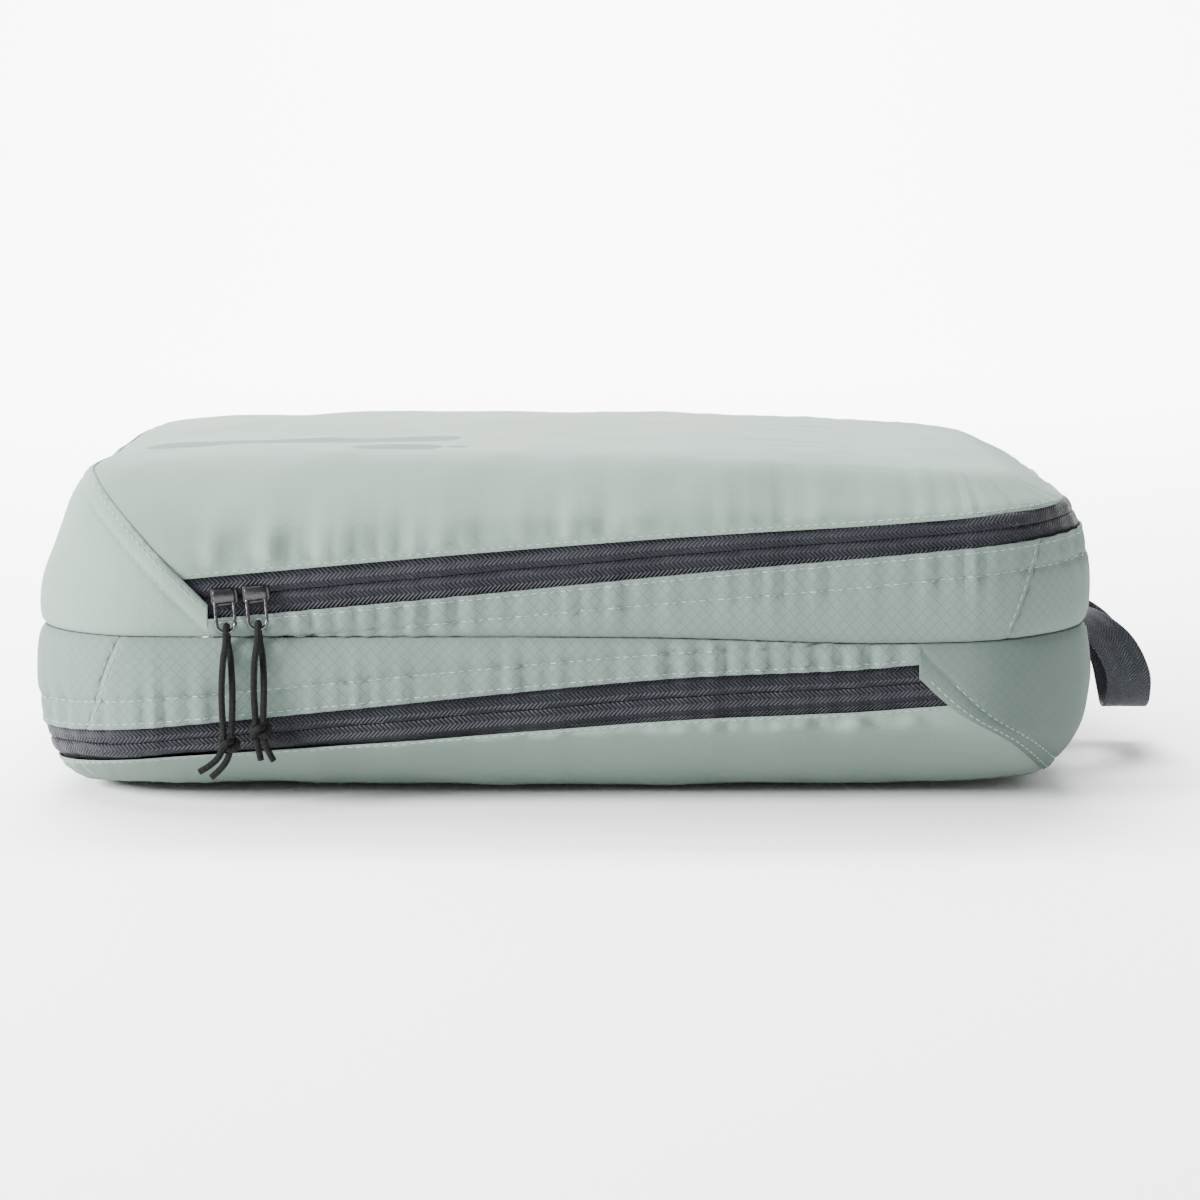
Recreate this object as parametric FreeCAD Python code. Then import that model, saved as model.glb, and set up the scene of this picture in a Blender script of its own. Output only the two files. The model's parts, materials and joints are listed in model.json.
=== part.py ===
import FreeCAD, Part
import math
import os

# A two-sided packing cube: a soft box with a divider at mid height and a zipped lid on
# each side of it. Each zip runs along the front, round one end and along the back, and
# its lid folds at the other end. Millimetres, +Z up, +X to the right seen from the
# front (-Y), origin at the middle of the flat underside.
# The lower half is the upper half turned 180 degrees about the front-to-back axis.

# The soft box
LENGTH = 356.0
DEPTH = 254.0
HEIGHT = 116.0
CORNER_R = 46.0          # upright corners, seen from above
EDGE_R = 20.0            # long edges of the top and the underside
CLOTH = 1.2              # stand-in for the cloth with its folded seams
DIVIDER = 1.0
DIVIDER_SET_BACK = 0.4   # the mid seam's groove
BINDING = 0.6
BINDING_WIDTH = 8.0
SEAM_GAP = 0.4           # between a lid and the end panel it folds from

# The end panel that a lid is sewn to, and the slanted seam between them
END_PANEL_REACH = 60.0   # along the front wall, from the end
SEAM_FOOT_RISE = 10.1    # where the slanted seam starts, above the mid seam
SEAM_TOP_INSET = 14.3    # where it meets the level of the top, from the end
HINGE_LIFT = 1.0         # fold line above the top panel

# The zip, which climbs from its closed end to the far end
ZIP_START_RISE = 13.0    # above the mid seam, where the end panel stops
ZIP_END_DROP = 18.1      # below the top, at the far end
ZIP_BARE = 7.0           # tape that shows, on each side of the middle
ZIP_MARGIN = 5.0         # tape sewn under the cloth
TAPE = 0.7
COIL_GAP = 0.4
COIL_WIDTH = 1.5
COIL = 1.3
CROSS_SEAM_TOP = 20.0    # gusset seam near the far end, from the end
CROSS_SEAM_FOOT = 31.0
CROSS_SEAM_HEIGHT = 27.5

# The sliders and their wire rings
SLIDER_LENGTH = 9.0
SLIDER_WIDTH = 6.4
SLIDER_PLATE = 1.0
SLIDER_BACK_PLATE = 0.8
SLIDER_CORNER_R = 2.0
SLIDER_PLAY = 0.3
POST_LENGTH = 2.6
POST_WIDTH = 0.5
BRIDGE_LENGTH = 2.0
BRIDGE_WALL = 0.8
SLIDER_FROM_SEAM = 6.0   # first slider's middle, from the end panel's edge
SLIDER_SPACING = 10.5
RING_WIRE = 1.2
RING_WIDTH = 7.4
RING_HEIGHT = 13.0
RING_TOP_R = 2.2
RING_PLAY = 0.35
RING_TILT = 12.8         # degrees: the cord behind the ring holds it off the wall

# The pull cords
CORD = 2.2
CORD_FOLD_R = 2.2        # round the ring's wire
CORD_RUN_SHARE = 0.45
KNOT_SIZE = (7.6, 5.0, 5.4)
KNOT_R = 2.2

# The webbing handle at the far end, sewn into the mid seam
WEBBING_WIDTH = 16.0
WEBBING = 1.5
HANDLE_ROOT_SPACING = 48.0
HANDLE_CLEARANCE = 0.4
HANDLE_PIVOT = 1.4       # its bending line, outside the end wall

# The blank sewn-in label
LABEL_WIDTH = 12.0
LABEL_DROP = 26.0
LABEL = 0.5

MID = HEIGHT / 2
HALF = LENGTH / 2
FRONT = DEPTH / 2
OUTSIDE = 60.0           # how far cutting shapes reach past the box
SEAM_X = -HALF + END_PANEL_REACH
SEAM_TOP_X = -HALF + SEAM_TOP_INSET
SEAM_LEAN = (SEAM_TOP_X - SEAM_X) / (HEIGHT - MID - SEAM_FOOT_RISE)
ZIP_SLOPE = (MID - ZIP_END_DROP - ZIP_START_RISE) / (HALF - SEAM_X)
ZIP_ANGLE = math.degrees(math.atan(ZIP_SLOPE))
ZIP_COS = math.cos(math.radians(ZIP_ANGLE))
COIL_DEPTH = CLOTH + TAPE
PLATE_TOP = CLOTH - SLIDER_PLAY - SLIDER_PLATE
RING_OUT = RING_PLAY + RING_WIRE / 2 - PLATE_TOP
RING_HANG = RING_HEIGHT - RING_WIRE

# Each strand's points from the middle of the ring's lowest wire: along the wall, out
# from the wall, up. The first is the fold's top, the second the corner round the wire.
HANGING_LEFT = {
    "cord_a": [(0, 0, 2.2), (0, 2.2, 2.2), (0, 2.2, -3.2), (-1.0, 1.7, -8), (-1.7, 1.3, -15.5),
               (-1.9, 1.1, -25), (-1.2, 1.0, -34), (-2.0, 1.1, -40.5), (-6.2, 1.4, -44.6),
               (-9.6, 1.2, -46.4)],
    "cord_b": [(0, 0, 2.2), (0, -2.2, 2.2), (0, -2.2, -3.2), (1.0, -1.4, -8), (1.6, 0.0, -15.5),
               (1.7, 0.7, -25), (1.2, 0.9, -34), (0.6, 1.2, -41), (-2.4, 1.6, -45.6),
               (-5.6, 1.5, -48.2)],
    "knot": (0, 1.0, -37.4),
}
HANGING_RIGHT = {
    "cord_a": [(0, 0, 2.2), (0, 2.2, 2.2), (0, 2.2, -3.2), (-1.0, 1.8, -8), (-1.6, 1.3, -14.5),
               (-1.7, 1.1, -22.5), (-1.2, 1.0, -30.5), (-1.1, 1.1, -36.5), (-0.2, 1.4, -40.5),
               (0.4, 1.3, -43.4)],
    "cord_b": [(0, 0, 2.2), (0, -2.2, 2.2), (0, -2.2, -3.2), (1.0, -1.4, -8), (1.6, 0.0, -14.5),
               (1.6, 0.7, -22.5), (1.2, 0.9, -30.5), (1.5, 1.2, -37), (3.2, 1.7, -41),
               (4.6, 1.6, -43.6)],
    "knot": (0, 1.0, -33.6),
}
# On the lower zip the cords reach what the cube stands on and turn out along it.
LYING_RIGHT = {
    "cord_a": [(0, 0, 2.2), (0, 2.2, 2.2), (0, 2.2, -3.2), (-1.0, 1.9, -8), (-1.5, 2.4, -15),
               (-1.5, 3.9, -21.5), (-1.3, 8.6, -27.2), (-1.2, 15.5, -28.6),
               (-0.9, 21.2, -28.9), (0.8, 25.6, -30.4), (2.9, 28.4, -30.5)],
    "cord_b": [(0, 0, 2.2), (0, -2.2, 2.2), (0, -2.2, -3.2), (1.0, -1.2, -8), (1.5, 0.7, -15),
               (1.5, 3.3, -21.5), (1.3, 8.4, -27.2), (1.2, 15.5, -28.6),
               (2.5, 21.0, -28.9), (5.9, 24.6, -30.4), (9.3, 26.2, -30.5)],
    "knot": (0, 15.0, -28.5),
}
LYING_LEFT = {
    "cord_a": [(0, 0, 2.2), (0, 2.2, 2.2), (0, 2.2, -3.2), (-1.0, 1.9, -8), (-1.5, 2.3, -15),
               (-1.5, 3.7, -21.0), (-1.3, 8.0, -26.2), (-1.2, 14.3, -27.6),
               (-2.4, 19.8, -28.0), (-5.4, 23.6, -29.3), (-8.6, 25.6, -29.5)],
    "cord_b": [(0, 0, 2.2), (0, -2.2, 2.2), (0, -2.2, -3.2), (1.0, -1.2, -8), (1.5, 0.7, -15),
               (1.5, 3.1, -21.0), (1.3, 7.8, -26.2), (1.2, 14.3, -27.6),
               (1.0, 20.0, -28.0), (-0.6, 24.6, -29.3), (-2.6, 27.6, -29.5)],
    "knot": (0, 14.0, -27.5),
}


def vec(x, y, z):
    return FreeCAD.Vector(x, y, z)


def rounded_box(inset):
    """The bag's outer form, moved inwards."""
    x, y, z = LENGTH - 2 * inset, DEPTH - 2 * inset, HEIGHT - 2 * inset
    box = Part.makeBox(x, y, z, vec(-x / 2, -y / 2, inset))
    uprights = [e for e in box.Edges if e.BoundBox.ZLength > z / 2]
    box = box.makeFillet(CORNER_R - inset, uprights)
    rims = [e for e in box.Edges if e.BoundBox.ZLength < z / 2]
    return box.makeFillet(EDGE_R - inset, rims)


def layer(outer, inner):
    """The shell between two depths under the outer form."""
    return rounded_box(outer).cut(rounded_box(inner))


def block(points):
    """A straight cut through the bag from front to back, outlined in X and Z."""
    corners = [vec(x, -DEPTH, z) for x, z in points]
    face = Part.Face(Part.makePolygon(corners + corners[:1]))
    return face.extrude(vec(0, 2 * DEPTH, 0))


def zip_z(x, offset):
    """Height of a line beside the zip's middle, at a place along the bag."""
    return MID + ZIP_START_RISE + ZIP_SLOPE * (x - SEAM_X) + offset / ZIP_COS


def seam_x(z, offset):
    """Place of a line beside the slanted seam, at a height."""
    return SEAM_X + SEAM_LEAN * (z - MID - SEAM_FOOT_RISE) + offset


def seam_crossing(offset, seam_offset):
    """Where a line beside the zip meets a line beside the slanted seam."""
    rise = zip_z(SEAM_X, offset) - MID - SEAM_FOOT_RISE
    run = (SEAM_LEAN * rise + seam_offset) / (1 - SEAM_LEAN * ZIP_SLOPE)
    return SEAM_X + run, zip_z(SEAM_X + run, offset)


def lid_side(low, high):
    """Region between two lines above the zip's middle, clear of the slanted seam."""
    far = HALF + OUTSIDE
    return block([seam_crossing(low, SEAM_GAP), (far, zip_z(far, low)),
                  (far, zip_z(far, high)), seam_crossing(high, SEAM_GAP)])


def body_side(low, high):
    """Region between two lines below the zip's middle, from the end panel to the divider."""
    far, foot = HALF + OUTSIDE, MID + DIVIDER / 2
    above = block([(SEAM_X, foot), (far, foot), (far, 2 * HEIGHT), (SEAM_X, 2 * HEIGHT)])
    return above.common(block([
        (SEAM_X, zip_z(SEAM_X, -high)), (far, zip_z(far, -high)),
        (far, zip_z(far, -low)), (SEAM_X, zip_z(SEAM_X, -low))]))


def top_panel():
    """Lid cloth: the top and the strips down to the zip."""
    far, high = HALF + OUTSIDE, HEIGHT + OUTSIDE
    return layer(0, CLOTH).common(block([
        seam_crossing(ZIP_BARE, SEAM_GAP), (far, zip_z(far, ZIP_BARE)), (far, high),
        (seam_x(high, SEAM_GAP), high)]))


def end_panel():
    """Cloth of the end that the lid folds from, up to the slanted seam."""
    far, high = -HALF - OUTSIDE, HEIGHT + OUTSIDE
    low = MID + DIVIDER / 2
    return layer(0, CLOTH).common(block([
        (far, low), (SEAM_X, low), (SEAM_X, MID + SEAM_FOOT_RISE), (seam_x(high, 0), high),
        (far, high)]))


def gusset():
    """Cloth band between the mid seam and the zip, in its three lengths."""
    low, far = MID + DIVIDER / 2, HALF + OUTSIDE
    band = layer(0, CLOTH).common(block([
        (SEAM_X, low), (far, low), (far, zip_z(far, -ZIP_BARE)),
        (SEAM_X, zip_z(SEAM_X, -ZIP_BARE))]))
    lean = (CROSS_SEAM_FOOT - CROSS_SEAM_TOP) / CROSS_SEAM_HEIGHT
    foot, reach = HALF - CROSS_SEAM_FOOT, HEIGHT
    beyond = block([(foot, MID), (far, MID), (far, MID + reach),
                    (foot + lean * reach, MID + reach)])
    runs = sorted(band.cut(beyond).Solids, key=lambda s: s.CenterOfMass.y)
    return {"front": runs[0], "back": runs[1], "end": band.common(beyond)}


def mid_binding():
    """Tape folded over the seam allowance, all round the inside."""
    low = MID + DIVIDER / 2
    return layer(COIL_DEPTH, COIL_DEPTH + BINDING).common(block([
        (-LENGTH, low), (LENGTH, low), (LENGTH, low + BINDING_WIDTH),
        (-LENGTH, low + BINDING_WIDTH)]))


def corner_binding():
    """The same tape along the slanted seam, up one side, over and down the other."""
    low, high = MID + SEAM_FOOT_RISE, HEIGHT + OUTSIDE
    return layer(CLOTH, CLOTH + BINDING).common(block([
        (seam_x(low, -BINDING_WIDTH), low), (seam_x(low, 0), low), (seam_x(high, 0), high),
        (seam_x(high, -BINDING_WIDTH), high)]))


def half_parts():
    """Every sewn piece of one half, in the upper half's place."""
    tape, coil = layer(CLOTH, COIL_DEPTH), layer(COIL_DEPTH, COIL_DEPTH + COIL)
    coil_edge, tape_edge = COIL_GAP + COIL_WIDTH, ZIP_BARE + ZIP_MARGIN
    parts = {"cover": top_panel(), "end_panel": end_panel(), "mid_binding": mid_binding(),
             "corner_binding": corner_binding(),
             "lid_zip_tape": tape.common(lid_side(COIL_GAP, tape_edge)),
             "lid_zip_coil": coil.common(lid_side(COIL_GAP, coil_edge)),
             "body_zip_tape": tape.common(body_side(COIL_GAP, tape_edge)),
             "body_zip_coil": coil.common(body_side(COIL_GAP, coil_edge))}
    for place, cloth in gusset().items():
        parts["gusset_" + place] = cloth
    return parts


def turned_over(shape):
    return shape.rotated(vec(0, 0, MID), vec(0, 1, 0), 180)


def divider_panel():
    """The sheet between the two halves, held in the mid seam."""
    slab = Part.makeBox(2 * LENGTH, 2 * DEPTH, DIVIDER, vec(-LENGTH, -DEPTH, MID - DIVIDER / 2))
    return rounded_box(DIVIDER_SET_BACK).common(slab)


def care_label():
    """A blank ribbon hanging inside the end, from the mid binding."""
    depth = COIL_DEPTH + BINDING
    return Part.makeBox(LABEL, LABEL_WIDTH, LABEL_DROP,
                        vec(-HALF + depth, -LABEL_WIDTH / 2, MID + DIVIDER))


def slider():
    """Zip slider: two plates joined by a post between the coils, and a bridge outside.
    Along X here, with the wall's outer face at y = 0 and its inside at +Y."""
    back_top = COIL_DEPTH + COIL + SLIDER_PLAY

    def plate(top, thick, trim):
        x, z = SLIDER_LENGTH - trim, SLIDER_WIDTH - trim
        slab = Part.makeBox(x, thick, z, vec(-x / 2, top, -z / 2))
        corners = [e for e in slab.Edges if e.BoundBox.YLength > thick / 2]
        return slab.makeFillet(SLIDER_CORNER_R, corners)

    post = Part.makeBox(POST_LENGTH, back_top - CLOTH + 2 * SLIDER_PLAY, POST_WIDTH,
                        vec(-POST_LENGTH / 2, CLOTH - SLIDER_PLAY, -POST_WIDTH / 2))
    tunnel = RING_WIRE + 2 * RING_PLAY
    height, width = tunnel + BRIDGE_WALL, tunnel + 2 * BRIDGE_WALL
    end = -BRIDGE_LENGTH / 2
    bridge = Part.makeBox(BRIDGE_LENGTH, height, width, vec(end, PLATE_TOP - height, -width / 2))
    hole = Part.makeBox(BRIDGE_LENGTH, tunnel, tunnel, vec(end, PLATE_TOP - tunnel, -tunnel / 2))
    body = plate(PLATE_TOP, SLIDER_PLATE, 0).fuse([bridge.cut(hole), post])
    return body.fuse(plate(back_top, SLIDER_BACK_PLATE, 0.4)).removeSplitter()


def ring():
    """Wire ring in the XZ plane, hanging from the middle of its top wire at the origin."""
    side, low = (RING_WIDTH - RING_WIRE) / 2, -RING_HANG
    flat, drop = side - RING_TOP_R, -(RING_HANG - side)
    bow = RING_TOP_R * math.sqrt(0.5)
    left_shoulder = vec(-flat - bow, 0, bow - RING_TOP_R)
    right_shoulder = vec(flat + bow, 0, bow - RING_TOP_R)
    path = Part.Wire([
        Part.LineSegment(vec(-flat, 0, 0), vec(flat, 0, 0)).toShape(),
        Part.Arc(vec(flat, 0, 0), right_shoulder, vec(side, 0, -RING_TOP_R)).toShape(),
        Part.LineSegment(vec(side, 0, -RING_TOP_R), vec(side, 0, drop)).toShape(),
        Part.Arc(vec(side, 0, drop), vec(0, 0, low), vec(-side, 0, drop)).toShape(),
        Part.LineSegment(vec(-side, 0, drop), vec(-side, 0, -RING_TOP_R)).toShape(),
        Part.Arc(vec(-side, 0, -RING_TOP_R), left_shoulder, vec(-flat, 0, 0)).toShape(),
    ])
    section = Part.Wire(Part.makeCircle(RING_WIRE / 2, vec(-flat, 0, 0), vec(1, 0, 0)))
    return path.makePipeShell([section], True, True)


def cord_tube(points):
    """Round cord along straight runs joined by arcs; also returns its radii and length."""
    edges, radii, here = [], [], points[0]
    for index in range(1, len(points) - 1):
        before, corner, after = points[index - 1:index + 2]
        back, ahead = before - corner, after - corner
        turn = math.pi - back.getAngle(ahead)
        trim = CORD_RUN_SHARE * min(back.Length, ahead.Length)
        if index == 1:
            trim = CORD_FOLD_R * math.tan(turn / 2)
        radius = trim / math.tan(turn / 2)
        start, end = corner + back.normalize() * trim, corner + ahead.normalize() * trim
        inward = (back + ahead).normalize()
        middle = corner + inward * (radius / math.cos(turn / 2) - radius)
        if (start - here).Length > 1e-6:
            edges.append(Part.LineSegment(here, start).toShape())
        edges.append(Part.Arc(start, middle, end).toShape())
        radii.append(round(radius, 1))
        here = end
    edges.append(Part.LineSegment(here, points[-1]).toShape())
    path = Part.Wire(edges)
    section = Part.Wire(Part.makeCircle(CORD / 2, points[0], points[1] - points[0]))
    return path.makePipeShell([section], True, False), radii, path.Length


def pull_parts(route, at, outward):
    """One pull's two strands and its knot, from the ring's lowest wire."""
    def placed(point):
        along, out, up = point
        return at + vec(along, outward * out, up)

    parts = {}
    for strand in ("cord_a", "cord_b"):
        tube, radii, length = cord_tube([placed(p) for p in route[strand]])
        parts[strand] = tube
        volume = math.pi * CORD ** 2 / 4 * length
        share = tube.Volume / volume
        print(strand, "length %.1f" % length, "radii", radii, "volume share %.4f" % share)
    centre = placed(route["knot"])
    knot = Part.makeBox(*KNOT_SIZE, centre - vec(*KNOT_SIZE) / 2)
    knot = knot.makeFillet(KNOT_R, knot.Edges)
    parts["knot"] = knot.cut([parts["cord_a"], parts["cord_b"]])
    return parts


def slider_set(x, lower, route):
    """A slider with its ring and cords; the lower ones sit on the back wall."""
    outward = 1 if lower else -1
    place = -x if lower else x
    z = zip_z(place, 0)
    z = 2 * MID - z if lower else z

    def on_wall(shape):
        if lower:
            shape = shape.rotated(vec(0, 0, 0), vec(0, 0, 1), 180)
        shape = shape.rotated(vec(0, 0, 0), vec(0, 1, 0), -ZIP_ANGLE)
        return shape.translated(vec(x, outward * FRONT, z))

    tilt = math.radians(RING_TILT)
    hang = RING_HANG * math.cos(tilt)
    lean = math.radians(ZIP_ANGLE)
    low = vec(x + hang * math.sin(lean), outward * (FRONT + RING_OUT + RING_HANG * math.sin(tilt)),
              z - hang * math.cos(lean))
    hung = ring().rotated(vec(0, 0, 0), vec(1, 0, 0), -RING_TILT).translated(vec(0, -RING_OUT, 0))
    parts = {"slider": on_wall(slider()), "pull_ring": on_wall(hung)}
    for name, shape in pull_parts(route, low, outward).items():
        parts["pull_" + name] = shape
    print("slider at %.2f %.2f %.2f, ring hinge y %.2f, ring foot %s" % (
        x, outward * FRONT, z, outward * (FRONT + RING_OUT), low))
    return parts


def handle_webbing():
    """Flat webbing loop that leaves the seam level, turns on edge and hangs."""
    root = HANDLE_ROOT_SPACING / 2
    half_route = [  # middle: out from the end wall, along it, up; then the width's direction
        ((HANDLE_CLEARANCE, -root, 0), (0, 1, 0)),
        ((6.0, -root, -0.6), (0.35, 0.93, 0.05)),
        ((12.0, -root + 0.5, -5.0), (0.75, 0.45, 0.45)),
        ((16.0, -root + 2.0, -14.0), (0.95, 0.10, 0.25)),
        ((17.0, -root + 6.5, -23.5), (1, 0, 0.05)),
        ((16.5, -root + 14.5, -29.3), (1, 0, 0)),
    ]
    route = half_route + [((x, -y, z), (a, -b, c)) for (x, y, z), (a, b, c) in half_route[::-1]]
    middles = [vec(HALF + x, y, MID + z) for (x, y, z), width in route]
    last = len(route) - 1
    sections = []
    for index, (place, across) in enumerate(route):
        middle = middles[index]
        along = (middles[min(index + 1, last)] - middles[max(index - 1, 0)]).normalize()
        if index in (0, last):
            along = vec(1 if index == 0 else -1, 0, 0)
        width = vec(*across)
        width = (width - along * width.dot(along)).normalize()
        normal = along.cross(width)
        corners = [middle + width * (s * WEBBING_WIDTH / 2) + normal * (t * WEBBING / 2)
                   for s, t in ((-1, -1), (1, -1), (1, 1), (-1, 1))]
        sections.append(Part.makePolygon(corners + corners[:1]))
    return Part.makeLoft(sections, True, True)


def build():
    parts = {}
    for name, shape in half_parts().items():
        upper = "top_panel" if name == "cover" else "upper_" + name
        lower = "bottom_panel" if name == "cover" else "lower_" + name
        parts[upper] = shape
        parts[lower] = turned_over(shape)
    parts["divider_panel"] = divider_panel()
    parts["care_label"] = care_label()
    parts["handle_webbing"] = handle_webbing()
    first = SEAM_X + SLIDER_FROM_SEAM
    second = first + SLIDER_SPACING
    for prefix, x, lower, route in (("upper_left_", first, False, HANGING_LEFT),
                                    ("upper_right_", second, False, HANGING_RIGHT),
                                    ("lower_right_", -first, True, LYING_RIGHT),
                                    ("lower_left_", -second, True, LYING_LEFT)):
        for name, shape in slider_set(x, lower, route).items():
            parts[prefix + name] = shape
    return parts


os.makedirs("parts", exist_ok=True)
for node, solid in build().items():
    count = len(solid.Solids)
    if not solid.isValid() or count != 1:
        print("CHECK", node, "valid", solid.isValid(), "solids", count)
    solid.exportStep("parts/" + node + ".step")
hinge_z = HEIGHT + HINGE_LIFT
print("upper lid hinge at %.2f, %.2f" % (seam_x(hinge_z, 0), hinge_z))
print("zip angle %.3f degrees, handle pivot x %.2f z %.2f" % (ZIP_ANGLE, HALF + HANDLE_PIVOT, MID))
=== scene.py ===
import json
import math

import bmesh
import bpy
import numpy as np
from mathutils import Matrix, Vector


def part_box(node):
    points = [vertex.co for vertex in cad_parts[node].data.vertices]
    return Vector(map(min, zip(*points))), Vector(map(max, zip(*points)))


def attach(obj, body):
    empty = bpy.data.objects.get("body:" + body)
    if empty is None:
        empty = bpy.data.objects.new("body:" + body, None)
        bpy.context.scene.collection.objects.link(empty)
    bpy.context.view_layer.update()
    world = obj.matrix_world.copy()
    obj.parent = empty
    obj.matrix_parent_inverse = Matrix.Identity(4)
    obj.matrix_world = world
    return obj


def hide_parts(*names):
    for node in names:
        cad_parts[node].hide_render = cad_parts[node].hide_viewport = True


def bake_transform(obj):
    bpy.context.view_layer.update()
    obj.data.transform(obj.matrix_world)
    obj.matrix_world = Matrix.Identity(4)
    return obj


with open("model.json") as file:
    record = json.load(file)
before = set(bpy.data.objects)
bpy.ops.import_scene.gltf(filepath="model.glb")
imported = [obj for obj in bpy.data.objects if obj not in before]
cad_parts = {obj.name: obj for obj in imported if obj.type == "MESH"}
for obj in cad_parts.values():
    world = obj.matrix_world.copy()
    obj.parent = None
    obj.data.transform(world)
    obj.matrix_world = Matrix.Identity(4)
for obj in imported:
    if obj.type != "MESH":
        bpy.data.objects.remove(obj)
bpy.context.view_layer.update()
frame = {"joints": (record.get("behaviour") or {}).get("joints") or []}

# ---- The floor, the lights and the camera ------------------------------------------------
# A plain pale paper sweep, lit by broad soft lights above, at the front left and over the
# paper. The camera stands a little over a metre off and above the cube, with a long lens.

FLOOR_HALF = 5.0
SWEEP_AT = 3.4           # how far behind the part the backdrop rises
SWEEP_R = 1.2            # the bend between floor and backdrop
CAMERA_AT = (0.012, -1.177, 0.215)
CAMERA_TILT = 82.16
CAMERA_LENS = 96.4


def srgb(code, times=1.0):
    """A hex colour as linear values, made darker or lighter."""
    parts = [int(code[i:i + 2], 16) / 255 for i in (1, 3, 5)]
    linear = [c / 12.92 if c <= 0.04045 else ((c + 0.055) / 1.055) ** 2.4 for c in parts]
    return [min(c * times, 1) for c in linear] + [1]


def wire(node, **sockets):
    """Gives each socket its number, its colour or another node's output."""
    for name, value in sockets.items():
        socket = node.inputs[int(name[1:]) if name[1:].isdigit() else name.replace("_", " ")]
        if isinstance(value, bpy.types.NodeSocket):
            node.id_data.links.new(value, socket)
        else:
            socket.default_value = value
    return node


def add_node(tree, kind, settings=(), **sockets):
    """One shader node with its settings and links."""
    made = tree.nodes.new("ShaderNode" + kind)
    for name, value in dict(settings).items():
        setattr(made, name, value)
    return wire(made, **sockets)


def new_material(name):
    """An empty material with its shader, ready for its colour and bump."""
    made = bpy.data.materials.new(name)
    made.use_nodes = True
    return made, made.node_tree, made.node_tree.nodes["Principled BSDF"]


def add_object(name, data):
    """An object at the origin that holds the given mesh, curve, lamp or camera."""
    made = bpy.data.objects.new(name, data)
    bpy.context.collection.objects.link(made)
    return made


# matt paper: pale and even, with no gloss
backdrop, tree, shader = new_material("matt_studio_paper")
wire(shader, Base_Color=srgb("#f8f8f8"), Roughness=0.9)
sweep = bmesh.new()
bmesh.ops.create_grid(sweep, x_segments=1, y_segments=1, size=FLOOR_HALF)
bmesh.ops.translate(sweep, verts=sweep.verts, vec=(0, SWEEP_AT - FLOOR_HALF, 0))
back_edge = [e for e in sweep.edges if all(v.co.y > SWEEP_AT - 0.01 for v in e.verts)]
raised = bmesh.ops.extrude_edge_only(sweep, edges=back_edge)["geom"]
raised = [v for v in raised if isinstance(v, bmesh.types.BMVert)]
bmesh.ops.translate(sweep, verts=raised, vec=(0, 0, FLOOR_HALF))
bmesh.ops.bevel(sweep, geom=back_edge, offset=SWEEP_R, affect="EDGES", segments=16, profile=0.5,
                material=-1)
floor_mesh = bpy.data.meshes.new("floor")
sweep.to_mesh(floor_mesh)
sweep.free()
floor_mesh.shade_smooth()
floor_mesh.materials.append(backdrop)
add_object("floor", floor_mesh)

world = bpy.data.worlds.new("studio")
bpy.context.scene.world = world
world.use_nodes = True
wire(world.node_tree.nodes["Background"], Color=srgb("#fbfcfd"), Strength=0.8)


def softbox(name, at, aim, size, power):
    """A square studio light turned towards a point."""
    lamp = bpy.data.lights.new(name, "AREA")
    lamp.size = size
    lamp.energy = power
    holder = add_object(name, lamp)
    holder.location = at
    holder.rotation_euler = (Vector(aim) - Vector(at)).to_track_quat("-Z", "Y").to_euler()


softbox("top_light", (-0.55, 0.45, 1.45), (0, 0, 0.05), 1.1, 54)
softbox("left_light", (-1.6, -0.75, 0.75), (-0.05, 0, 0.05), 0.7, 130)
softbox("backdrop_light", (0, 1.9, 2.4), (0, 3.2, 0.1), 2.0, 560)

camera = add_object("camera", bpy.data.cameras.new("camera"))
camera.location = CAMERA_AT
camera.rotation_euler = (math.radians(CAMERA_TILT), 0, 0)
camera.data.lens = CAMERA_LENS
bpy.context.scene.camera = camera


# ---- The pull cords ----------------------------------------------------------------------
# Four loops of 2.2 mm black braided polyester cord. Each is hitched through its slider's
# ring and its two ends are tied together in an overhand knot, with short tails.

MM = 0.001
CORD = 2.2
KNOT_CORD = 2.3          # the knot is drawn tight, so its cord looks a little thicker
# the first points of each cord: over the ring's wire and down through its opening
OVER_BACK = [(0, 0, 2.2), (0, 2.2, 2.2), (0, 2.2, -3.2)]
OVER_FRONT = [(0, 0, 2.2), (0, -2.2, 2.2), (0, -2.2, -3.2)]
HANGING_LEFT = {
    "cord_a": OVER_BACK + [(-1.0, 1.7, -8), (-1.7, 1.3, -15.5), (-1.9, 1.1, -25), (-1.2, 1.0, -34),
                           (-2.0, 1.1, -40.5), (-6.2, 1.4, -44.6), (-9.6, 1.2, -46.4)],
    "cord_b": OVER_FRONT + [(1.0, -1.4, -8), (1.6, 0.0, -15.5), (1.7, 0.7, -25), (1.2, 0.9, -34),
                            (0.6, 1.2, -41), (-2.4, 1.6, -45.6), (-5.6, 1.5, -48.2)],
    "knot": (0, 1.0, -37.4)}
HANGING_RIGHT = {
    "cord_a": OVER_BACK + [(-1.0, 1.8, -8), (-1.6, 1.3, -14.5), (-1.7, 1.1, -22.5),
                           (-1.2, 1.0, -30.5), (-1.1, 1.1, -36.5), (-0.2, 1.4, -40.5),
                           (0.4, 1.3, -43.4)],
    "cord_b": OVER_FRONT + [(1.0, -1.4, -8), (1.6, 0.0, -14.5), (1.6, 0.7, -22.5),
                            (1.2, 0.9, -30.5), (1.5, 1.2, -37), (3.2, 1.7, -41), (4.6, 1.6, -43.6)],
    "knot": (0, 1.0, -33.6)}
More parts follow.
